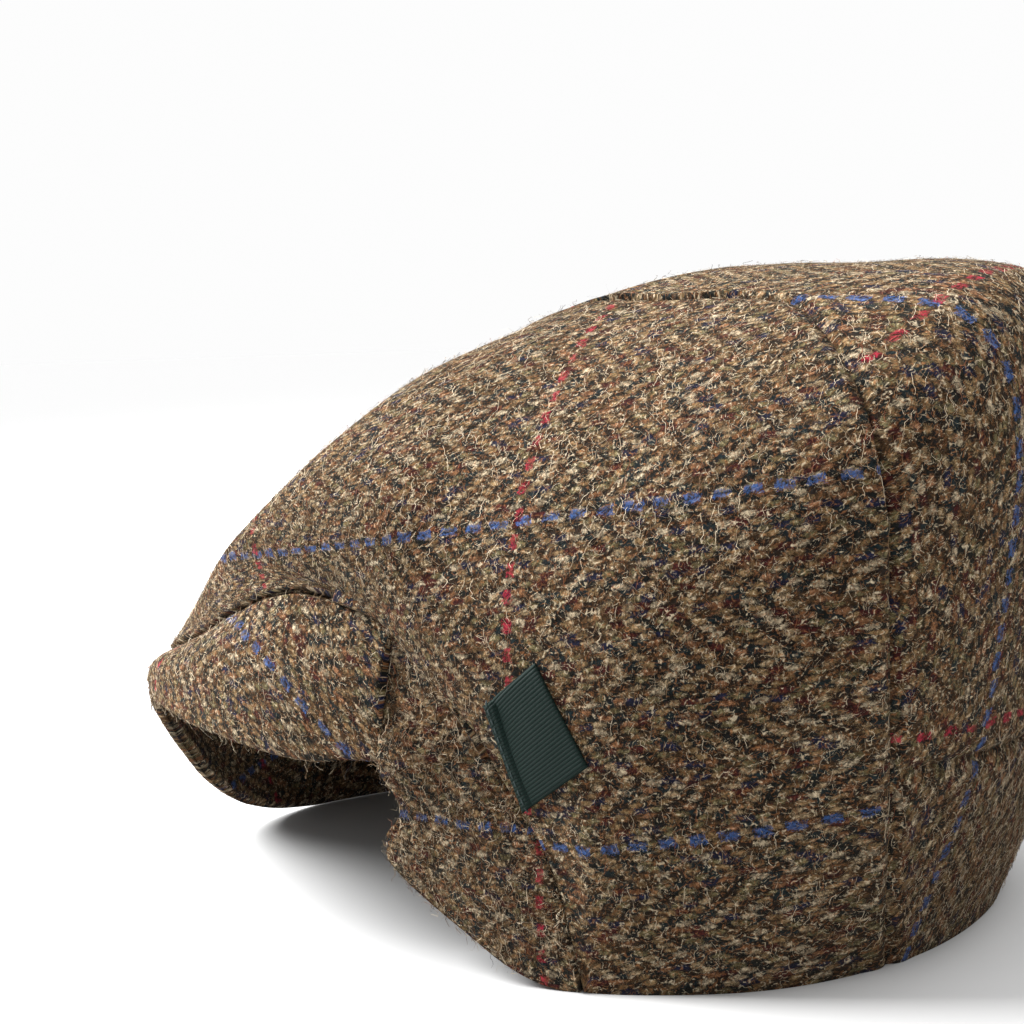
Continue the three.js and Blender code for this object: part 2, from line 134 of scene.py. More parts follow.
def ring_weights(up):
    """Shares of the edge, the five rings and the top in the crown's height curve."""
    knots = np.array([0, 0, 0, 0, 0.25, 0.5, 0.75, 1, 1, 1, 1])
    s = np.clip(up, 0, 1 - 1e-9)
    b = [((s >= knots[i]) & (s < knots[i + 1])).astype(float) for i in range(10)]
    for d in (1, 2, 3):
        new = []
        for i in range(len(b) - 1):
            l, r = knots[i + d] - knots[i], knots[i + d + 1] - knots[i + 1]
            new.append(((s - knots[i]) / l * b[i] if l > 0 else 0)
                       + ((knots[i + d + 1] - s) / r * b[i + 1] if r > 0 else 0))
        b = new
    return b


def crown_point(deg, up):
    """The crown's outer face; up is 0 at its lower edge and 1 in the middle of the top."""
    deg, up = np.broadcast_arrays(np.asarray(deg, float), np.asarray(up, float))
    a = np.radians(deg)
    sn, c = np.sin(a), -np.cos(a)
    edge = crown_edge(deg)
    weights = ring_weights(up)
    out = edge * weights[0][..., None]
    front, back = np.where(c < 0, c * c, 0), np.where(c > 0, c * c, 0)
    for w, row in zip(weights[1:], RINGS):
        r = dict(zip(RING_COLUMNS, row))
        n = 2 / r["square"]
        x = r["half_width"] * np.sign(sn) * np.abs(sn) ** n
        y = np.where(c < 0, -r["front"], r["back"]) * np.abs(c) ** n
        z = r["z_front"] * front + r["z_back"] * back + r["z_side"] * (1 - front - back)
        amount = ease((y - LEAN["from_y"]) / (LEAN["to_y"] - LEAN["from_y"]))
        z = z + LEAN["height"] * np.tanh((x - LEAN["middle"]) / LEAN["width"]) * amount
        floor = edge[..., 2] + r["above_seam"]
        z = 0.5 * (z + floor + np.hypot(z - floor, 6))
        out = out + np.stack([x, y, z], -1) * w[..., None]
    return out + np.array([0, TOP["y"], TOP["z"]]) * weights[6][..., None]


def crown_normal(deg, up):
    u = np.minimum(0.97, up)
    across = crown_point(deg + 1.5, u) - crown_point(deg - 1.5, u)
    climb = crown_point(deg, u + 0.015) - crown_point(deg, np.maximum(0, u - 0.015))
    n = np.cross(across, climb)
    return n / np.linalg.norm(n, axis=-1, keepdims=True)


def chart(deg, up):
    """The crown's flat chart, a disc with the middle of the top in its centre."""
    a = np.radians(deg)
    return np.stack(np.broadcast_arrays((1 - up) * np.sin(a), -(1 - up) * np.cos(a)), -1)


def unchart(p):
    return np.degrees(np.arctan2(p[..., 0], -p[..., 1])), 1 - np.hypot(p[..., 0], p[..., 1])


def seam_chart(at):
    return chart(side_deg(at), side_up(at))


def even(points_at, count, fine):
    """Places, as values of fine, that are evenly spaced along a line of points."""
    length = np.concatenate([[0], np.cumsum(np.linalg.norm(np.diff(points_at(fine), axis=0), axis=1))])
    return np.interp(np.linspace(0, length[-1], count + 1), length, fine)


SIDE_ROWS, SIDE_COLUMNS, BAND_ROWS = 14, 34, 5
SEAM_MARKS = 2 * SIDE_ROWS + SIDE_COLUMNS


def on_side_seam(at):
    return crown_point(side_deg(at), side_up(at))


# The seam and the edge are marked off like cut cloth, so that neighbours meet mark on mark.
seam_way = np.linspace(0, 1, 601)
band_at = seam_way[(seam_way > 0.8) & (on_side_seam(seam_way)[:, 2] >= BAND_HEIGHT)].max()
MARKS = np.concatenate([
    even(on_side_seam, SEAM_MARKS - BAND_ROWS, np.linspace(0, band_at, 601)),
    even(on_side_seam, BAND_ROWS, np.linspace(band_at, 1, 200))[1:]])
FRONT_SEAM_START, BACK_SEAM = 8, 148.5
EDGE_STRETCHES = (  # from deg, to deg, marks
    (FRONT_SEAM_START, PEAK_END, 13), (PEAK_END, FRONT_SEAM_END - 0.5, 11),
    (FRONT_SEAM_END - 0.5, FRONT_SEAM_END, 1), (FRONT_SEAM_END, BACK_SEAM, 9),
)
EDGE_MARKS = np.concatenate([even(crown_edge, n, np.linspace(a, b, 201))[1 if k else 0:]
                             for k, (a, b, n) in enumerate(EDGE_STRETCHES)])


def mark_chart(k):
    """The seam's place at mark k, counted from the front."""
    return seam_chart(np.interp(k, np.arange(SEAM_MARKS + 1), MARKS))


def edge_chart(k):
    """The edge's place at share k of the side panel's columns."""
    return chart(np.interp(k * SIDE_COLUMNS, np.arange(SIDE_COLUMNS + 1), EDGE_MARKS), 0)


def patch(low, high, left, right, s, t):
    """Points of the flat chart between four border lines; s runs along low and t along left."""
    s2, t2 = s[..., None], t[..., None]
    zero, one = np.zeros(1), np.ones(1)
    along = low(s) * (1 - t2) + high(s) * t2 + left(t) * (1 - s2) + right(t) * s2
    corners = ((1 - t2) * (low(zero)[0] * (1 - s2) + low(one)[0] * s2)
               + t2 * (high(zero)[0] * (1 - s2) + high(one)[0] * s2))
    return along - corners


# Tweed of the whole cap: coarse 2/2 herringbone in flecked browns with fine blue and crimson
# lines, and loose wool fibres that curl out of the cloth. The map of each piece is its flat
# cloth in millimetres: U runs along the herringbone's columns and V across them.
class Field:
    """A value in a material's node tree that takes part in arithmetic."""

    def __init__(self, tree, out):
        self.tree, self.out = tree, out

    def node(self, kind, inputs=(), out=0, **props):
        n = self.tree.nodes.new(kind)
        for key, value in props.items():
            setattr(n, key, value)
        for key, value in (inputs.items() if isinstance(inputs, dict) else enumerate(inputs)):
            if isinstance(value, Field):
                self.tree.links.new(value.out, n.inputs[key])
            elif value is not None:
                n.inputs[key].default_value = value
        return Field(self.tree, n.outputs[out])

    def math(self, operation, *others):
        return self.node("ShaderNodeMath", (self, *others), operation=operation)

    def __add__(self, o): return self.math("ADD", o)
    __radd__ = __add__
    def __sub__(self, o): return self.math("SUBTRACT", o)
    def __rsub__(self, o): return self.node("ShaderNodeMath", (o, self), operation="SUBTRACT")
    def __mul__(self, o): return self.math("MULTIPLY", o)
    __rmul__ = __mul__
    def __truediv__(self, o): return self.math("DIVIDE", o)
    def __rtruediv__(self, o): return self.node("ShaderNodeMath", (o, self), operation="DIVIDE")
    def __mod__(self, o): return self.math("FLOORED_MODULO", o)
    def __abs__(self): return self.math("ABSOLUTE")
    def __lt__(self, o): return self.math("LESS_THAN", o)
    def __gt__(self, o): return self.math("GREATER_THAN", o)

    def floor(self): return self.math("FLOOR")
    def sin(self): return self.math("SINE")

    def step(self, low, high):
        """0 below low, 1 above high and smooth between."""
        return self.node("ShaderNodeMapRange", {0: self, 1: low, 2: high, 3: 0.0, 4: 1.0},
                         interpolation_type="SMOOTHSTEP")

    def mix(self, a, b):
        """Colour a where this value is 0, colour b where it is 1."""
        return self.node("ShaderNodeMix", {0: self, 6: a, 7: b}, out=2, data_type="RGBA")

    def ramp(self, *stops, smooth=False):
        n = self.tree.nodes.new("ShaderNodeValToRGB")
        n.color_ramp.interpolation = "LINEAR" if smooth else "CONSTANT"
        ramp = n.color_ramp.elements
        for k, (at, colour) in enumerate(stops):
            e = ramp[k] if k < 2 else ramp.new(at)
            e.position, e.color = at, (*colour, 1)
        self.tree.links.new(self.out, n.inputs[0])
        return Field(self.tree, n.outputs[0])


def new_material(name):
    """A material with its node tree and its shader."""
    m = bpy.data.materials.new(name)
    m.use_nodes = True
    return m, m.node_tree, m.node_tree.nodes["Principled BSDF"]


LIGHT_YARNS = ((0, (0.20, 0.125, 0.055)), (0.2, (0.13, 0.078, 0.034)), (0.42, (0.27, 0.20, 0.115)),
               (0.56, (0.17, 0.06, 0.025)), (0.66, (0.10, 0.092, 0.04)), (0.86, (0.36, 0.30, 0.205)))
DARK_YARNS = ((0, (0.008, 0.009, 0.008)), (0.28, (0.018, 0.011, 0.007)), (0.48, (0.007, 0.014, 0.016)),
              (0.64, (0.045, 0.009, 0.008)), (0.76, (0.05, 0.027, 0.012)), (0.9, (0.009, 0.011, 0.03)))
BLENDED = ((0.28, (0.06, 0.04, 0.022)), (0.38, (0.14, 0.05, 0.025)), (0.44, (0.21, 0.13, 0.06)),
           (0.5, (0.09, 0.08, 0.045)), (0.56, (0.28, 0.20, 0.12)), (0.62, (0.14, 0.08, 0.04)),
           (0.72, (0.38, 0.30, 0.21)))
BLUE_YARN, RED_YARN = (0.026, 0.06, 0.165, 1), (0.22, 0.012, 0.026, 1)
DARK_HAIR, BROWN_HAIR, PALE_HAIR = (0.007, 0.007, 0.008, 1), (0.20, 0.085, 0.033, 1), (0.40, 0.33, 0.225, 1)
PERIOD, COLUMN, YARN = 6.4, 12.6, 1.6  # a float and its gap, a herringbone column, a yarn


def tweed(name, blue=(), red=(), bright=1.0):
    """blue are places of blue lines along V, red of crimson lines along U."""
    m, tree, shader = new_material(name)
    uv = Field(tree, tree.nodes.new("ShaderNodeUVMap").outputs[0])
    flat = uv.node("ShaderNodeSeparateXYZ", [uv])
    u, v = Field(tree, flat.out.node.outputs[0]), Field(tree, flat.out.node.outputs[1])

    def noise(scale, detail, rough=0.6, distortion=0.0, shift=0.0):
        moved = uv.node("ShaderNodeVectorMath", [uv, (shift, 2 * shift, 0)], operation="ADD")
        return uv.node("ShaderNodeTexNoise", {"Vector": moved, "Scale": scale, "Detail": detail,
                                              "Roughness": rough, "Distortion": distortion})

    coarse = noise(0.22, 1.0, shift=7.0)
    fuzzy = noise(1.1, 2.0, 0.65, 0.5, shift=31.0)
    hairs = noise(2.4, 2.0, 0.7, 1.4, shift=53.0)
    grit = noise(4.5, 1.0, 0.6, 0.6, shift=91.0)
    # the yarns wander a little, and each row of weft floats over the warp for half a period
    x = u + (coarse - 0.5) * 2.6 + (fuzzy - 0.5) * 1.7
    y = v + (coarse - 0.5) * -2.0 + (grit - 0.5) * 1.6
    row = (y / YARN).floor()
    zigzag = abs((row * YARN) % (2 * COLUMN) - COLUMN)
    phase = (x + zigzag) / PERIOD
    yarn = ((y / YARN - row) * math.pi).sin()  # 0 between two yarns, 1 on top of one
    light = ((phase * (2 * math.pi)).sin() * 1.15 + yarn - 1.05
             + (hairs - 0.5) * 2.6 + (fuzzy - 0.5) * 1.8).step(-0.4, 0.4)

    def yarns(shift, stops):
        """A colour of its own for each float."""
        key = uv.node("ShaderNodeCombineXYZ", [(phase + (fuzzy - 0.5) * 0.4).floor(), row + shift, 0.0])
        return uv.node("ShaderNodeTexWhiteNoise", [key], noise_dimensions="2D").ramp(*stops)

    def curls(scale, width, shift):
        """Thin curled lines, where a noise crosses its middle."""
        n = noise(scale, 1.0, 0.5, 0.5, shift=shift)
        return (1 - abs(n - 0.5) / width).math("MAXIMUM", 0.0)

    strands = noise(0.85, 2.0, 0.8, 0.7, shift=23.0)
    blended = strands.ramp(*BLENDED, smooth=True)
    lit = uv.node("ShaderNodeMix", {0: 0.35, 6: yarns(0.0, LIGHT_YARNS), 7: blended}, out=2, data_type="RGBA")
    cloth = light.mix(yarns(0.5, DARK_YARNS), lit)
    # single curled fibres lying over the yarns
    cloth = (curls(0.62, 0.08, 11.0) * strands.step(0.4, 0.52) * 0.9).mix(cloth, DARK_HAIR)
    cloth = (curls(0.58, 0.06, 41.0) * fuzzy.step(0.42, 0.54) * 0.8).mix(cloth, BROWN_HAIR)
    cloth = (curls(0.46, 0.04, 71.0) * strands.step(0.47, 0.56) * 0.85).mix(cloth, PALE_HAIR)
    # tone of each spot: random strands, hairs and patches, the piece's bright, and painted shade between two
    # yarns, where yarn is 0
    shade = (strands - 0.5) * 3.4 + (hairs - 0.5) * 1.2 + (coarse - 0.5) * 0.5 + yarn * 0.3 + bright - 0.36
    shade = shade.math("MAXIMUM", 0.18)
    for places, across, along, colour, half, share in (
            (blue, y, x, BLUE_YARN, 1.0, 0.6), (red, x, y, RED_YARN, 0.95, 0.52)):
        for place in places:
            near = abs(across - place + (hairs - 0.5) * 2.2) < half
            dash = ((along / PERIOD) % 1.0) < share
            worn = (hairs + strands).step(0.8, 1.04)
            cloth = (near * dash * worn * 0.9).mix(cloth, colour)
    cloth = uv.node("ShaderNodeVectorMath", {0: cloth, 3: shade}, operation="SCALE")
    height = light * 0.25 + hairs * 0.8 + strands * 1.1
    bump = uv.node("ShaderNodeBump", {"Strength": 0.75, "Distance": 0.0011, "Height": height})
    for key, value in (("Base Color", cloth), ("Normal", bump)):
        tree.links.new(value.out, shader.inputs[key])
    shader.inputs["Roughness"].default_value = 0.96
    shader.inputs["Specular IOR Level"].default_value = 0.04
    shader.inputs["Sheen Weight"].default_value = 0.05
    shader.inputs["Sheen Roughness"].default_value = 0.5
    shader.inputs["Sheen Tint"].default_value = (0.85, 0.72, 0.55, 1)
    return m


def wool():
    """The loose fibres' material, with a tone for each fibre."""
    m, tree, shader = new_material("wool_fibres")
    tone = Field(tree, tree.nodes.new("ShaderNodeAttribute").outputs["Fac"])
    tone.out.node.attribute_name = "tone"
    colour = tone.ramp((0, (0.36, 0.29, 0.20)), (0.2, (0.15, 0.09, 0.045)), (0.5, (0.46, 0.38, 0.27)),
                       (0.66, (0.08, 0.045, 0.02)), (0.8, (0.02, 0.018, 0.015)), (0.92, (0.15, 0.045, 0.018)))
    tree.links.new(colour.out, shader.inputs["Base Color"])
    shader.inputs["Roughness"].default_value = 0.8
    shader.inputs["Specular IOR Level"].default_value = 0.25
    return m


WOOL = wool()


def fibre_nodes():
    """Geometry nodes that grow curled fibres from the cloth's outer faces."""
    g = bpy.data.node_groups.new("curled_fibres", "GeometryNodeTree")
    face = g.interface
    face.new_socket("Cloth", in_out="INPUT", socket_type="NodeSocketGeometry")
    for name, kind, value in (("Density", "Float", 1.0), ("Length", "Float", 0.006), ("Curl", "Float", 0.004),
                              ("Width", "Float", 0.0002), ("Seed", "Int", 0)):
        face.new_socket(name, in_out="INPUT", socket_type="NodeSocket" + kind).default_value = value
    face.new_socket("Wool", in_out="INPUT", socket_type="NodeSocketMaterial")
    face.new_socket("Fibres", in_out="OUTPUT", socket_type="NodeSocketGeometry")

    def add(kind, links=None, **props):
        n = g.nodes.new(kind)
        for key, value in props.items():
            setattr(n, key, value)
        for key, value in (links or {}).items():
            if hasattr(value, "is_output"):
                g.links.new(value, n.inputs[key])
            else:
                n.inputs[key].default_value = value
        return n

    inp = add("NodeGroupInput").outputs
    pile = add("GeometryNodeInputNamedAttribute", {"Name": "pile"}, data_type="FLOAT").outputs[0]
    grown = add("FunctionNodeCompare", {0: pile, 1: 0.5}, data_type="FLOAT",
                operation="GREATER_THAN").outputs[0]
    points = add("GeometryNodeDistributePointsOnFaces",
                 {"Mesh": inp["Cloth"], "Selection": grown, "Density": inp["Density"], "Seed": inp["Seed"]})
    line = add("GeometryNodeCurvePrimitiveLine", {"End": (0, 0, 1)}).outputs[0]
    line = add("GeometryNodeResampleCurve", {"Curve": line, "Count": 10}).outputs[0]
    lay = add("FunctionNodeRandomValue", {0: (1.4, 0.0, -3.14), 1: (1.6, 0.0, 3.14), "Seed": inp["Seed"]},
              data_type="FLOAT_VECTOR").outputs[0]
    turned = add("FunctionNodeRotateRotation", {0: points.outputs["Rotation"], 1: lay},
                 rotation_space="LOCAL").outputs[0]
    share = add("FunctionNodeRandomValue", {2: 0.35, 3: 1.0, "Seed": inp["Seed"]},
                data_type="FLOAT").outputs[1]
    long = add("ShaderNodeMath", {0: share, 1: inp["Length"]}, operation="MULTIPLY").outputs[0]
    placed = add("GeometryNodeInstanceOnPoints", {"Points": points.outputs["Points"], "Instance": line,
                                                  "Rotation": turned, "Scale": long}).outputs[0]
    tone = add("FunctionNodeRandomValue", {2: 0.0, 3: 1.0, "Seed": 5}, data_type="FLOAT").outputs[1]
    placed = add("GeometryNodeStoreNamedAttribute", {"Geometry": placed, "Name": "tone", "Value": tone},
                 data_type="FLOAT", domain="INSTANCE").outputs[0]
    # the cloth's outward direction is kept, so that the curls are pressed down to the cloth
    placed = add("GeometryNodeStoreNamedAttribute",
                 {"Geometry": placed, "Name": "outward", "Value": points.outputs["Normal"]},
                 data_type="FLOAT_VECTOR", domain="INSTANCE").outputs[0]
    loose = add("GeometryNodeRealizeInstances", {0: placed}).outputs[0]
    outward = add("GeometryNodeInputNamedAttribute", {"Name": "outward"},
                  data_type="FLOAT_VECTOR").outputs[0]
    along = add("GeometryNodeSplineParameter").outputs["Factor"]
    where = add("GeometryNodeInputPosition").outputs[0]
    wave = add("ShaderNodeTexNoise", {"Vector": where, "Scale": 520.0, "Detail": 1.0,
                                      "Roughness": 0.6}).outputs["Color"]
    swing = add("ShaderNodeVectorMath", {0: wave, 1: (0.5, 0.5, 0.5)}, operation="SUBTRACT").outputs[0]
    reach = add("ShaderNodeMath", {0: along, 1: inp["Curl"]}, operation="MULTIPLY").outputs[0]
    reach = add("ShaderNodeMath", {0: reach, 1: 2.2}, operation="MULTIPLY").outputs[0]
    offset = add("ShaderNodeVectorMath", {0: swing, 3: reach}, operation="SCALE").outputs[0]
    lift = add("ShaderNodeVectorMath", {0: offset, 1: outward}, operation="DOT_PRODUCT").outputs["Value"]
    lift = add("ShaderNodeMath", {0: lift, 1: -0.8}, operation="MULTIPLY").outputs[0]
    press = add("ShaderNodeVectorMath", {0: outward, 3: lift}, operation="SCALE").outputs[0]
    offset = add("ShaderNodeVectorMath", {0: offset, 1: press}, operation="ADD").outputs[0]
    curled = add("GeometryNodeSetPosition", {"Geometry": loose, "Offset": offset}).outputs[0]
    half = add("ShaderNodeMath", {0: inp["Width"], 1: 0.5}, operation="MULTIPLY").outputs[0]
    minus = add("ShaderNodeMath", {0: half, 1: -1.0}, operation="MULTIPLY").outputs[0]
    left, right = (add("ShaderNodeCombineXYZ", {0: x}).outputs[0] for x in (minus, half))
    section = add("GeometryNodeCurvePrimitiveLine", {"Start": left, "End": right}).outputs[0]
    mesh = add("GeometryNodeCurveToMesh", {"Curve": curled, "Profile Curve": section}).outputs[0]
    mesh = add("GeometryNodeRealizeInstances", {0: mesh}).outputs[0]
    mesh = add("GeometryNodeSetMaterial", {"Geometry": mesh, "Material": inp["Wool"]}).outputs[0]
    add("NodeGroupOutput", {0: mesh})
    return g


FIBRES = fibre_nodes()


def fibres(cloth, count, seed, length=0.0052, width=0.00009, curl=0.003):
    """Loose fibres on a piece of cloth, as a plain mesh of their own."""
    me = cloth.data
    pile = np.zeros(len(me.polygons), np.float32)
    me.attributes["pile"].data.foreach_get("value", pile)
    size = np.zeros(len(me.polygons), np.float32)
    me.polygons.foreach_get("area", size)
    area = float(size[pile > 0.5].sum())
    o = bpy.data.objects.new(cloth.name.replace("_cloth", "_fibres"), me.copy())
    bpy.context.collection.objects.link(o)
    mod = o.modifiers.new("fibres", "NODES")
    mod.node_group = FIBRES
    sockets = {s.name: s.identifier for s in FIBRES.interface.items_tree if s.in_out == "INPUT"}
    for name, value in (("Density", count / area), ("Length", length), ("Curl", curl), ("Width", width),
                        ("Seed", seed), ("Wool", WOOL)):
        mod[sockets[name]] = value
    bpy.context.view_layer.update()
    mesh = bpy.data.meshes.new_from_object(o.evaluated_get(bpy.context.evaluated_depsgraph_get()))
    o.modifiers.clear()
    o.data = mesh
    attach(o, "root")
    return o


def cloth_piece(name, outer, inner, uv, material):
    """A closed piece of cloth between two grids of points, in millimetres."""
    rows, cols = outer.shape[:2]
    points = (np.concatenate([outer.reshape(-1, 3), inner.reshape(-1, 3)]) + SHIFT) / 1000
    n = rows * cols
    # four corners of each outer face, then the inner faces and the four cut edges
    i, j = (k.ravel() for k in np.meshgrid(np.arange(rows - 1), np.arange(cols - 1), indexing="ij"))
    a, b, c, d = i * cols + j, i * cols + j + 1, (i + 1) * cols + j + 1, (i + 1) * cols + j
    j0, i0 = np.arange(cols - 1), np.arange(rows - 1) * cols
    top, side = (rows - 1) * cols, cols - 1
    faces = np.concatenate([
        np.stack([a, b, c, d], 1), np.stack([a + n, d + n, c + n, b + n], 1),
        np.stack([j0, j0 + n, j0 + n + 1, j0 + 1], 1),
        np.stack([top + j0, top + j0 + 1, top + j0 + n + 1, top + j0 + n], 1),
        np.stack([i0, i0 + cols, i0 + cols + n, i0 + n], 1),
        np.stack([i0 + side, i0 + side + n, i0 + cols + side + n, i0 + cols + side], 1)])
    me = bpy.data.meshes.new(name + "_cloth")
    me.from_pydata(points.tolist(), [], faces.tolist())
    layer = me.uv_layers.new(name="cloth")
    corner = np.zeros(len(me.loops), np.int64)
    me.loops.foreach_get("vertex_index", corner)
    both_faces = np.concatenate([uv.reshape(-1, 2)] * 2)
    layer.data.foreach_set("uv", both_faces[corner].astype(np.float32).ravel())
    grown = np.zeros(len(faces), np.float32)
    grown[:len(a)] = 1
    me.attributes.new("pile", "FLOAT", "FACE").data.foreach_set("value", grown)
    me.polygons.foreach_set("use_smooth", np.ones(len(faces), bool))
    me.materials.append(material)
    me.update()
    o = bpy.data.objects.new(name + "_cloth", me)
    bpy.context.collection.objects.link(o)
    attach(o, "root")
    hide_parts(name)
    return o


def lengths(grid, axis):
    """Distance along the grid's lines, from their start."""
    d = np.linalg.norm(np.diff(grid, axis=axis), axis=-1)
    zero = np.zeros_like(np.take(grid[..., 0], [0], axis=axis))
    return np.concatenate([zero, np.cumsum(d, axis=axis)], axis=axis)


def waves(p, size, amount, seed):
    """Soft unevenness of hand-shaped cloth, as a distance along the normal."""
    rng = np.random.default_rng(seed)
    out = 0
    for _ in range(7):
        k = rng.normal(size=3)
        k *= 2 * np.pi / (size * rng.uniform(0.7, 1.6) * np.linalg.norm(k))
        out = out + np.sin(p @ k + rng.uniform(0, 6.28))
    return amount * out / 7 ** 0.5


def crown_panel(name, border, rows, cols, material, map_of, mirrored=False, on_floor=False):
    """A panel of the crown, with its seams drawn in and the cloth puffed beside them."""
    t, s = np.meshgrid(np.linspace(0, 1, rows + 1), np.linspace(0, 1, cols + 1), indexing="ij")
    p = border(1 - s if mirrored else s, t)
    if mirrored:
        p = p * np.array([-1, 1])
    deg, up = unchart(p)
    base, n = crown_point(deg, up), crown_normal(deg, up)
    across, climb = lengths(base, 1), lengths(base, 0)
    low, high = climb, climb[-1:] - climb
    left, right = across, across[:, -1:] - across
    sewn = [left, right, high] + ([] if on_floor else [low])
    gap = np.minimum.reduce(sewn)
    dip = 1.3 * np.exp(-(gap / 1.5) ** 2) - 0.45 * np.exp(-((gap - 4.5) / 2.4) ** 2)
    swell = waves(base, 42, 0.35, 3) * ease(gap / 12)
    outer = base - n * (dip - swell)[..., None]
    if on_floor:
        outer[0, :, 2] = base[0, :, 2]
    inner = base - n * CLOTH
    if on_floor:
        flat = base[0, :, 2] < 0.5
        inner[0, flat, 2] = base[0, flat, 2]
    return cloth_piece(name, outer, inner, map_of(base, deg, up), material)


# Side panels, each cut in one piece from the seam at the top down to the rim. Blue lines run
# along them and a crimson one runs up the left one, above the label.
BLUE_LINE = {"z": 106.9, "rise": 0.13}
CRIMSON_Y = 6.5
SURVEY_DEG, SURVEY_UP = np.linspace(-180, 180, 361), np.linspace(0, 0.97, 120)
survey = crown_point(SURVEY_DEG[:, None], SURVEY_UP[None, :])
# up the crown: distance on the cloth, and where the upper blue line crosses each direction
climbs = lengths(survey, 1)
levels = survey[..., 2] - BLUE_LINE["z"] - BLUE_LINE["rise"] * survey[..., 1]
line_at = np.array([np.interp(0, level, climb) if level[0] < 0 < level.max() else climb[0] - level[0]
                    for level, climb in zip(levels, climbs)])
# round the crown: distance on the cloth from the widest places, where y is 0, on each side
rounds = lengths(survey, 0)
abeam = [[np.interp(0, y[half], r[half]) for y, r in zip(survey[..., 1].T, rounds.T)]
         for half in (slice(180, None, -1), slice(180, None))]
fronts = -abs(rounds - np.where(SURVEY_DEG[:, None] < 0, abeam[0], abeam[1]))


def side_map(p, deg, up):
    """Along the cap by its length, and round the front by the distance on the cloth itself."""
    i = np.clip(deg + 180, 0, 359.999)
    k = np.clip(up / SURVEY_UP[-1] * (len(SURVEY_UP) - 1), 0, len(SURVEY_UP) - 1.001)
    i0, k0 = i.astype(int), k.astype(int)
    past_i, past_k = i - i0, k - k0
    climb, ahead = (sum(table[i0 + a, k0 + b] * (past_i if a else 1 - past_i) * (past_k if b else 1 - past_k)
                        for a in (0, 1) for b in (0, 1)) for table in (climbs, fronts))
    line = line_at[i0] * (1 - past_i) + line_at[i0 + 1] * past_i
    return np.stack([np.where(p[..., 1] < 0, ahead, p[..., 1]), climb - line], -1)


def side_border(s, t):
    return patch(edge_chart, lambda k: mark_chart(SIDE_ROWS + SIDE_COLUMNS * k),
                 lambda k: mark_chart(SIDE_ROWS * k), lambda k: mark_chart(SEAM_MARKS - SIDE_ROWS * k), s, t)


side_cloth = tweed("tweed_sides", blue=(0.0, -78.0), red=(CRIMSON_Y, CRIMSON_Y + 95, CRIMSON_Y - 95))
side_left = crown_panel("side_panel_left", side_border, 84, 150, side_cloth, side_map, on_floor=True)
side_right = crown_panel("side_panel_right", side_border, 84, 150, side_cloth, side_map, mirrored=True,
                         on_floor=True)

# Back band: the short strip of tweed under the top panel, from one back seam to the other.
# It draws the full crown in to the rim at the nape, so its top seam is a sharp crease.
BAND_MARK = SEAM_MARKS - BAND_ROWS
BAND_DEG, BAND_UP = (float(v) for v in unchart(mark_chart(np.array(float(BAND_MARK)))))
OTHER_SIDE = np.array([-1, 1])


def band_top(k):
    """The seam between the band and the top panel, at share k of its way across."""
    k = np.asarray(k, float)
    deg = BAND_DEG + (360 - 2 * BAND_DEG) * k
    ends = crown_point(np.array([BAND_DEG]), np.array([BAND_UP]))[0, 2]
    share = 1 - (2 * k - 1) ** 2
    height = ends * (1 - share) + BAND_HEIGHT * share
    low, high = np.zeros_like(deg), np.full_like(deg, 0.5)
    for _ in range(30):
        mid = (low + high) / 2
        below = crown_point(deg, mid)[..., 2] < height
        low, high = np.where(below, mid, low), np.where(below, high, mid)
    return chart(deg, np.where((k <= 0) | (k >= 1), BAND_UP, low))


TURN = {"y": 38, "z": 95, "radius": 62, "slope": 1.04}  # where the back rolls over into the top


def back_map(p, deg, up):
    """Along the middle of the cap, up the back and over the top, and across it."""
    y, z = p[..., 1], p[..., 2]
    turned = np.clip(np.arctan2(z - TURN["z"], y - TURN["y"]), 0, np.pi / 2)
    rise = np.where(z < TURN["z"], z, TURN["z"] + TURN["radius"] * turned)
    return np.stack([rise + np.maximum(0, TURN["y"] - y) * TURN["slope"], p[..., 0]], -1)


def top_map(p, deg, up):
    """The same at the back; over the front by the distance on the cloth itself."""
    flat, run = back_map(p, deg, up), lengths(p, 0)
    for j in range(p.shape[1]):
        k = int(np.argmax(p[:, j, 1] < -20))
        flat[k:, j, 0] = flat[k, j, 0] + run[k:, j] - run[k, j]
    return flat


back_cloth = tweed("tweed_back", blue=(42.0, -36.0), red=(58.0, 148.0, 240.0))
back_band = crown_panel(
    "back_band", lambda s, t: patch(
        lambda k: chart(BACK_SEAM + 63 * k, 0 * k), band_top,
        lambda k: mark_chart(SEAM_MARKS + (BAND_MARK - SEAM_MARKS) * k),
        lambda k: mark_chart(SEAM_MARKS + (BAND_MARK - SEAM_MARKS) * k) * OTHER_SIDE, s, t),
    40, 110, back_cloth, back_map, on_floor=True)

# Top panel: the long middle piece, from the back band up over the crown and down to the seam
# over the peak. It is widest at the back and narrows to a few centimetres in front.
top_panel = crown_panel(
    "top_panel", lambda s, t: patch(
        band_top, lambda k: chart(FRONT_SEAM_START * (1 - 2 * k), 0 * k),
        lambda k: mark_chart(BAND_MARK * (1 - k)),
        lambda k: mark_chart(BAND_MARK * (1 - k)) * OTHER_SIDE, s, t),
    190, 76, back_cloth, top_map)

# Wings in front of the ears: small flaps of the same cloth that run on from the peak and stand
# on the rim, with a soft fold that fades out towards the ear.
WING_FOLD = {"height": 50, "rise": 9, "depth": 5.5, "from": 72, "to": 90, "above": 20, "below": 7,
             "forward": 5.5}


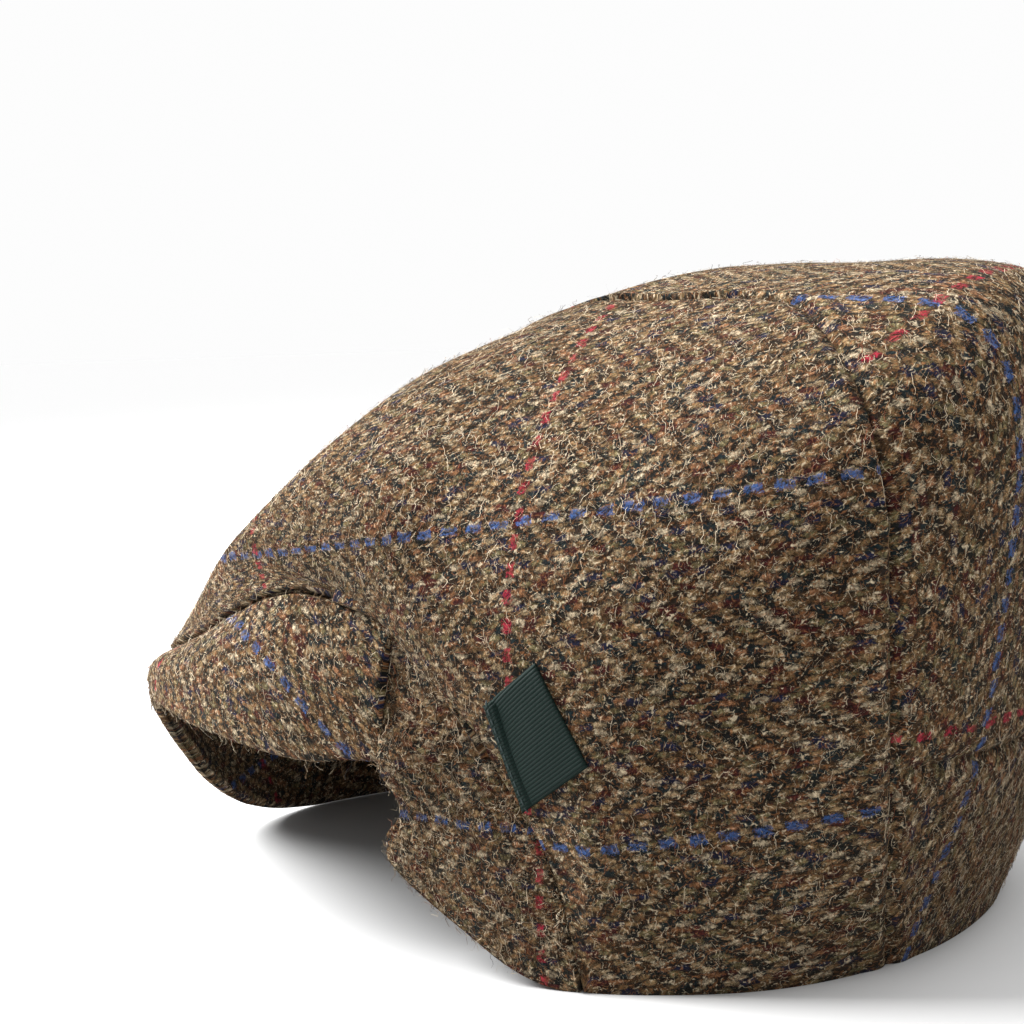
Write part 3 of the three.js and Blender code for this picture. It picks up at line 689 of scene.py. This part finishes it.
def wing(name, side, material):
    marks = EDGE_MARKS[(EDGE_MARKS > PEAK_END - 0.01) & (EDGE_MARKS < FRONT_SEAM_END - 0.49)]
    deg = np.interp(np.linspace(0, len(marks) - 1, 71), np.arange(len(marks)), marks)
    if side < 0:
        deg = deg[::-1]
    t = np.linspace(0, 1, 61)[:, None]
    d = side * deg
    low, high = rim_point(d), crown_edge(d)
    p = low + (high - low) * t[..., None]
    f = WING_FOLD
    along = (deg - f["from"]) / (f["to"] - f["from"])
    dz = p[..., 2] - (f["height"] + f["rise"] * along)
    spread = np.where(dz > 0, f["above"], f["below"])
    bump = f["depth"] * (1 - ease(along)) * np.exp(-(dz / spread) ** 2)
    bump = bump * np.sin(np.pi * np.minimum(1, 0.25 + t * 0.75))
    p[..., 1] -= f["forward"] * (1 - ease(along * 1.3)) * (1 - ease((p[..., 2] - 30) / 8))
    out = polar(d, 1, 0)
    p = p + out * (bump + 1.2 * np.sin(np.pi * t))[..., None]
    climb = lengths(p, 0)
    gap = climb[-1:] - climb
    dip = 1.2 * np.exp(-(gap / 1.6) ** 2)
    inner = p - out * CLOTH
    outer = p - out * (dip - waves(p, 30, 0.3, 5) * ease(gap / 10))[..., None]
    uv = np.stack([p[..., 1] * 1.05, p[..., 2] * 1.02], -1)
    return cloth_piece(name, outer, inner, uv, material)


# the wings' cloth is painted a little darker than the other pieces: painted shade
wing_cloth = tweed("tweed_wings", blue=(38.0,), red=(9.5, -70.0), bright=0.95)
wing_left = wing("front_wing_left", 1, wing_cloth)
wing_right = wing("front_wing_right", -1, wing_cloth)

# Peak: a stiffened visor covered with the same cloth, rounded at its edge. Its far side hangs
# to the floor and its near side is held up by the crown.
PEAK_EDGE = (  # deg, reach, z
    (-75, 98, 48), (-66, 106, 36), (-55, 116, 22), (-42, 129, 8), (-30, 139, 1.2), (-22, 144, 0.1),
    (-14, 147, 0.1), (-8, 148, 1.6), (0, 148.5, 7.5), (6, 148.5, 17), (13, 147.5, 32), (19, 145.5, 43),
    (24, 143, 49.5), (28, 140, 52.5), (33, 136, 53.5), (40, 129, 52), (46, 123.5, 51.2), (53, 117, 49.6),
    (61, 109, 48.3), (67, 104, 49.8), (75, 98, 50),
)
PEAK_THICK, SEAM_GAP, ROOT = 5.2, 0.35, 13.0
PEAK_WEAVE = math.radians(24)  # the weave lies aslant on the peak


def peak():
    deg = np.linspace(-PEAK_END - 0.35, PEAK_END + 0.35, 181)
    share = np.concatenate([np.linspace(-1, 0, 8)[:-1], np.linspace(0, 1, 44)])[:, None]
    edge = polar(deg, curve(PEAK_EDGE, 1)(deg), curve(PEAK_EDGE, 2)(deg))
    seam = crown_edge(deg)
    under = seam - crown_normal(deg, np.zeros_like(deg)) * CLOTH
    seam[..., 2] = np.minimum(seam[..., 2], under[..., 2]) - 2 * SEAM_GAP
    out = polar(deg, 1, 0)
    side = ease((np.abs(deg) - 40) / (PEAK_END - 40))
    root = seam - out * (ROOT * (1 - side) + 2.5 * side)[:, None] - np.array([0, 0, 0.5])
    s3 = share[..., None]
    rise = 4 * np.sin(np.pi * share) * (1 - 0.5 * ease((np.abs(deg) - 50) / 22))
    bulge = polar(deg, 1, 0.8) * np.maximum(rise, 0)[..., None]
    p = np.where(s3 < 0, seam + (root - seam) * -s3, seam + (edge - seam) * s3 + bulge)
    n = np.cross(np.gradient(p, axis=1), np.gradient(p, axis=0))
    n = -n / np.linalg.norm(n, axis=-1, keepdims=True)
    n *= np.sign((n * (out + np.array([0, 0, 0.8]))).sum(-1, keepdims=True))
    # the edge is a half round: the last rows of both faces close in on each other
    down = lengths(p, 0)
    back = down[-1:] - down
    r = PEAK_THICK / 2
    close = r - np.sqrt(np.maximum(0, r * r - np.maximum(0, r - back) ** 2))
    close = np.where(share < 0, 0, close)
    swell = waves(p, 38, 0.35, 9) * ease(back / 8)
    upper = p - n * (close - swell)[..., None]
    lower = p - n * (PEAK_THICK - close)[..., None]
    lower[..., 2] = np.maximum(lower[..., 2], 0.05)
    upper[..., 2] = np.maximum(upper[..., 2], 0.05)
    across = lengths(p[-12:-11], 1)
    across = across - across[:, 90:91]
    c, sn = math.cos(PEAK_WEAVE), math.sin(PEAK_WEAVE)
    uv = np.stack([across * c + down * sn, down * c - across * sn], -1)
    return cloth_piece("peak", upper[::-1], lower[::-1], uv[::-1], peak_cloth)


peak_cloth = tweed("tweed_peak", blue=(-38.0, 40.0), red=(95.0, 8.0, -80.0), bright=1.0)
peak_piece = peak()

# Label: a bottle-green ribbon tab, folded under at its front edge and stitched there to the side
# panel, just behind the wing's seam. The corners are directions and heights on the crown.
LABEL = {"low_front": (93.4, 0.012), "low_back": (101, 0.276), "high_back": (95, 0.408),
         "high_front": (90, 0.27)}
LABEL_THICK = 0.9


def on_crown(p):
    """Places on the crown with the same height and direction as points near it."""
    aim = np.degrees(np.arctan2(p[..., 0], -p[..., 1]))
    deg, up = aim.copy(), np.zeros_like(aim)
    for _ in range(12):
        low, high = np.zeros_like(deg), np.full_like(deg, 0.8)
        for _ in range(24):
            up = (low + high) / 2
            below = crown_point(deg, up)[..., 2] < p[..., 2]
            low, high = np.where(below, up, low), np.where(below, high, up)
        q = crown_point(deg, up)
        deg = deg + 0.8 * (aim - np.degrees(np.arctan2(q[..., 0], -q[..., 1])))
    return deg, up


def ribbon_material():
    """Ribbed ribbon: ribs along U and fine threads across them."""
    m, tree, shader = new_material("ribbon")
    uv = Field(tree, tree.nodes.new("ShaderNodeUVMap").outputs[0])
    flat = uv.node("ShaderNodeSeparateXYZ", [uv]).out.node
    u, v = Field(tree, flat.outputs[0]), Field(tree, flat.outputs[1])
    noise = uv.node("ShaderNodeTexNoise", {"Vector": uv, "Scale": 1.4, "Detail": 3.0})
    rib_pitch, thread_pitch = 0.85, 0.34
    rib = abs((v * (math.pi / rib_pitch)).sin())
    thread = abs((u * (math.pi / thread_pitch) + (v / rib_pitch).floor() * 1.57).sin())
    # colour: darker in the grooves between the ribs and between the threads, which is painted shade, with a
    # random tone from the noise
    tone = rib * 0.45 + thread * 0.2 + noise * 0.5
    colour = tone.mix((0.0006, 0.003, 0.0024, 1), (0.0028, 0.0125, 0.0095, 1))
    bump = uv.node("ShaderNodeBump", {"Strength": 0.8, "Distance": 0.0003, "Height": rib + thread * 0.4})
    tree.links.new(colour.out, shader.inputs["Base Color"])
    tree.links.new(bump.out, shader.inputs["Normal"])
    shader.inputs["Roughness"].default_value = 0.62
    shader.inputs["Specular IOR Level"].default_value = 0.12
    return m


def label():
    """The ribbon tab and the line that it is stitched on."""
    t, s = np.meshgrid(np.linspace(0, 1, 61), np.linspace(0, 1, 51), indexing="ij")
    corner = {k: crown_point(np.array([v[0]], float), np.array([v[1]], float))[0] for k, v in LABEL.items()}
    low = corner["low_front"] + (corner["low_back"] - corner["low_front"]) * s[..., None]
    high = corner["high_front"] + (corner["high_back"] - corner["high_front"]) * s[..., None]
    deg, up = on_crown(low + (high - low) * t[..., None])
    base, n = crown_point(deg, up), crown_normal(deg, up)
    across, climb = lengths(base, 1), lengths(base, 0)
    fold = 0.55 * (1 - ease((across - 3.2) / 0.5)) - 0.35 * np.exp(-((across - 3.6) / 0.45) ** 2)
    rim = np.minimum.reduce([across, across[:, -1:] - across, climb, climb[-1:] - climb])
    soft = 0.3 * np.exp(-(rim / 0.35) ** 2)
    outer = base + n * (SEAM_GAP + LABEL_THICK + fold - soft + waves(base, 26, 0.18, 4))[..., None]
    o = cloth_piece("label", outer, base + n * SEAM_GAP, np.stack([across, climb], -1), ribbon_material())
    return o, outer[:, 4] + n[:, 4] * 0.1


def stitch_nodes():
    """Geometry nodes that set evenly spaced stitches along a line."""
    g = bpy.data.node_groups.new("stitch_row", "GeometryNodeTree")
    for name, kind in (("Line", "Geometry"), ("Spacing", "Float"), ("Thread", "Material")):
        g.interface.new_socket(name, in_out="INPUT", socket_type="NodeSocket" + kind)
    g.interface.new_socket("Stitches", in_out="OUTPUT", socket_type="NodeSocketGeometry")
    new = g.nodes.new
    inp, line, spaced, ball, put, shape, real, paint, out = (new(k) for k in (
        "NodeGroupInput", "GeometryNodeMeshToCurve", "GeometryNodeCurveToPoints", "GeometryNodeMeshIcoSphere",
        "GeometryNodeInstanceOnPoints", "ShaderNodeCombineXYZ", "GeometryNodeRealizeInstances",
        "GeometryNodeSetMaterial", "NodeGroupOutput"))
    spaced.mode = "LENGTH"
    ball.inputs["Subdivisions"].default_value = 2
    ball.inputs["Radius"].default_value = 1.0
    for socket, size in zip(shape.inputs, (0.00022, 0.00022, 0.0008)):
        socket.default_value = size
    for a, b in ((inp.outputs["Line"], line.inputs[0]), (line.outputs[0], spaced.inputs[0]),
                 (inp.outputs["Spacing"], spaced.inputs["Length"]),
                 (spaced.outputs["Points"], put.inputs["Points"]),
                 (spaced.outputs["Rotation"], put.inputs["Rotation"]),
                 (ball.outputs[0], put.inputs["Instance"]),
                 (shape.outputs[0], put.inputs["Scale"]), (put.outputs[0], real.inputs[0]),
                 (real.outputs[0], paint.inputs[0]), (inp.outputs["Thread"], paint.inputs["Material"]),
                 (paint.outputs[0], out.inputs[0])):
        g.links.new(a, b)
    return g


def stitches(name, points, thread):
    """Stitches along a line of points, as a plain mesh."""
    me = bpy.data.meshes.new(name)
    me.from_pydata(((points + SHIFT) / 1000).tolist(), [(k, k + 1) for k in range(len(points) - 1)], [])
    o = bpy.data.objects.new(name, me)
    bpy.context.collection.objects.link(o)
    mod = o.modifiers.new("row", "NODES")
    mod.node_group = stitch_nodes()
    sockets = {s.name: s.identifier for s in mod.node_group.interface.items_tree if s.in_out == "INPUT"}
    mod[sockets["Spacing"]], mod[sockets["Thread"]] = 0.0022, thread
    bpy.context.view_layer.update()
    mesh = bpy.data.meshes.new_from_object(o.evaluated_get(bpy.context.evaluated_depsgraph_get()))
    o.modifiers.clear()
    o.data = mesh
    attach(o, "root")
    return o


label_piece, label_line = label()
thread, thread_tree, thread_shader = new_material("dark_thread")
thread_shader.inputs["Roughness"].default_value = 0.7
thread_place = Field(thread_tree, thread_tree.nodes.new("ShaderNodeTexCoord").outputs["Object"])
twist = thread_place.node("ShaderNodeTexNoise", {"Vector": thread_place, "Scale": 2500.0})
thread_colour = twist.mix((0.002, 0.006, 0.006, 1), (0.01, 0.03, 0.028, 1))
thread_tree.links.new(thread_colour.out, thread_shader.inputs["Base Color"])
label_stitches = stitches("label_stitches", label_line, thread)

# Loose wool: the short hairs that stand out of all the tweed. None grow under the label, and
# none at the rim, where the cap's weight presses them flat.
LABEL_CLEAR, FLOOR_CLEAR = 0.0022, 0.0055
near_label = kdtree.KDTree(len(label_piece.data.vertices))
for vertex in label_piece.data.vertices:
    near_label.insert(vertex.co, vertex.index)
near_label.balance()
for piece in (side_left, side_right, back_band, wing_left, wing_right, peak_piece):
    pile = piece.data.attributes["pile"].data
    for face in piece.data.polygons:
        covered = piece is side_left and near_label.find(face.center)[2] < LABEL_CLEAR
        if covered or face.center[2] < FLOOR_CLEAR:
            pile[face.index].value = 0
few = 1.0
for k, (piece, count) in enumerate(((side_left, 10500), (side_right, 7000), (top_panel, 9000), (back_band, 3400),
                                    (wing_left, 2400), (wing_right, 2000), (peak_piece, 4800))):
    fibres(piece, int(count * few), 40 + k)

# The cut of each piece of cloth, laid flat: the rectangle that it is cut from, in metres. Half
# of a piece's surface is one face of the cloth.
for piece, width, length, held in ((side_left, 0.30, 0.17, "stretched"), (side_right, 0.30, 0.17, "stretched"),
                                   (top_panel, 0.15, 0.34, "stretched"), (back_band, 0.15, 0.055, "stretched"),
                                   (wing_left, 0.085, 0.06, "stretched"), (wing_right, 0.085, 0.06, "stretched"),
                                   (label_piece, 0.027, 0.038, "laid")):
    size = np.zeros(len(piece.data.polygons))
    piece.data.polygons.foreach_get("area", size)
    float(size.sum() / 2)

# The studio: a floor with painted shade, grey near the cap and fading to white further out, soft light from
# above and the left of the view, and a camera at the angle of VIEW.
def stage_material(name, colour):
    m, tree, shader = new_material(name)
    place = Field(tree, tree.nodes.new("ShaderNodeTexCoord").outputs["Object"])
    away = place.node("ShaderNodeVectorMath", [place], out=1, operation="LENGTH")
    # painted shade: the floor's colour is grey near the cap and fades to white from 0.35 m to 1.3 m away
    tree.links.new(away.step(0.35, 1.3).mix((*colour, 1), (1, 1, 1, 1)).out, shader.inputs["Base Color"])
    shader.inputs["Roughness"].default_value = 0.9
    return m


bpy.ops.mesh.primitive_plane_add(size=30, location=(0, 0, 0))
floor = bpy.context.object
floor.name = "floor"
floor.data.materials.append(stage_material("floor_with_painted_shade", (0.42, 0.42, 0.42)))
world = bpy.data.worlds.new("studio")
bpy.context.scene.world = world
world.use_nodes = True
world.node_tree.nodes["Background"].inputs["Color"].default_value = (1, 1, 1, 1)
world.node_tree.nodes["Background"].inputs["Strength"].default_value = 0.98
bpy.context.scene.view_settings.view_transform = "Standard"

VIEW = {"azimuth": 119.51, "elevation": 5.42, "roll": -2.26, "distance": 505.1,
        "target": (26.41, -31.75, 102.75), "lens_px": 1913.45}
a, e, r = (math.radians(VIEW[k]) for k in ("azimuth", "elevation", "roll"))
back = np.array([math.sin(a) * math.cos(e), -math.cos(a) * math.cos(e), math.sin(e)])
right = np.cross(-back, (0, 0, 1))
right /= np.linalg.norm(right)
above = np.cross(right, -back)
right, above = math.cos(r) * right + math.sin(r) * above, -math.sin(r) * right + math.cos(r) * above
eye = (np.array(VIEW["target"]) + SHIFT + back * VIEW["distance"]) / 1000


def look(location, x, y, z):
    """The matrix that puts an object at location with its axes along x, y and z."""
    return Matrix([(x[k], y[k], z[k], location[k]) for k in range(3)] + [(0, 0, 0, 1)])


camera = bpy.data.objects.new("camera", bpy.data.cameras.new("camera"))
bpy.context.collection.objects.link(camera)
camera.data.sensor_width = 36.0
camera.data.lens = VIEW["lens_px"] * 36.0 / 1024
camera.data.clip_start, camera.data.clip_end = 0.01, 100
camera.matrix_world = look(eye, right, above, back)
bpy.context.scene.camera = camera

middle = np.array([0.0, 0.0, 0.08])
for name, place, size, watts in (("key", middle - 0.1 * back - 1.0 * right + 0.85 * above, 0.7, 80.0),
                                 ("top", middle + 0.1 * back + 0.45 * right + 1.15 * above, 0.9, 14.0)):
    lamp = bpy.data.lights.new(name, "AREA")
    lamp.energy, lamp.size = watts, size
    o = bpy.data.objects.new(name, lamp)
    bpy.context.collection.objects.link(o)
    z = (place - middle) / np.linalg.norm(place - middle)
    x = np.cross((0.0, 0.1, 1.0), z)
    x /= np.linalg.norm(x)
    o.matrix_world = look(place, x, np.cross(z, x), z)
